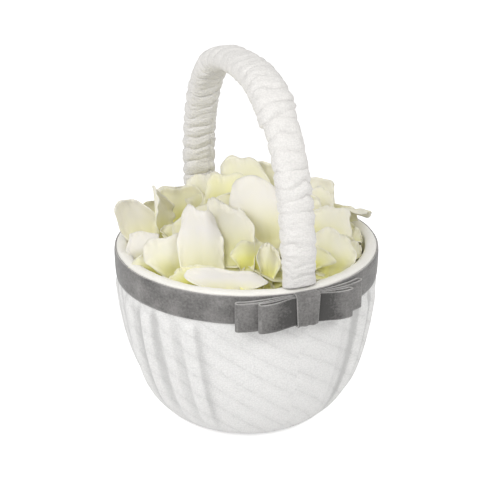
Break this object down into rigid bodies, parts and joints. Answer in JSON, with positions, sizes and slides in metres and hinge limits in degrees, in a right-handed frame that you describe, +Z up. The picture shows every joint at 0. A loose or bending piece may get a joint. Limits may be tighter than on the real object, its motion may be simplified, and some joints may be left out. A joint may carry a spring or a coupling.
{
  "type": "flower girl basket",
  "caption": "Round white quilted flower girl basket with a grey velvet ribbon and bow, a ruched arch handle and a heap of ivory silk petals.",
  "frame": {"origin": "centre of the base's underside", "axes": "+Z up, the bow faces -Y, the handle's arch stands in the YZ plane"},
  "size_m": [0.1808, 0.1911, 0.2534],
  "materials": {
    "moulded_bowl": "matte",
    "quilted_cloth": "quilted matelasse",
    "base_card": "matte",
    "wadding": "soft",
    "satin_lining": "satin",
    "grey_velvet": "velvet",
    "handle_strip": "matte",
    "rivet_metal": "satin",
    "silk_petal": "silk"
  },
  "bodies": {
    "basket": {"bowl_core": "moulded_bowl", "outer_cover": "quilted_cloth", "base_disc": "base_card", "wadding": "wadding", "inner_lining": "satin_lining", "ribbon_band": "grey_velvet", "bow_back_loop": "grey_velvet", "bow_front_loop": "grey_velvet", "bow_knot": "grey_velvet", "handle_core": "handle_strip", "handle_padding": "wadding", "handle_sleeve": "quilted_cloth", "handle_rivets": "rivet_metal"},
    "petals": {"petal_bed": "silk_petal", "petal_01": "silk_petal", "petal_02": "silk_petal", "petal_03": "silk_petal", "petal_04": "silk_petal", "petal_05": "silk_petal", "petal_06": "silk_petal", "petal_07": "silk_petal", "petal_08": "silk_petal", "petal_09": "silk_petal", "petal_10": "silk_petal", "petal_11": "silk_petal", "petal_12": "silk_petal", "petal_13": "silk_petal", "petal_14": "silk_petal", "petal_15": "silk_petal", "petal_16": "silk_petal", "petal_17": "silk_petal", "petal_18": "silk_petal", "petal_19": "silk_petal", "petal_20": "silk_petal", "petal_21": "silk_petal", "petal_22": "silk_petal"}
  },
  "joints": [
    {"name": "petals_lift", "type": "slide", "parent": "basket", "child": "petals", "axis": [0, 0, 1], "range_m": [0, 0.04]}
  ]
}
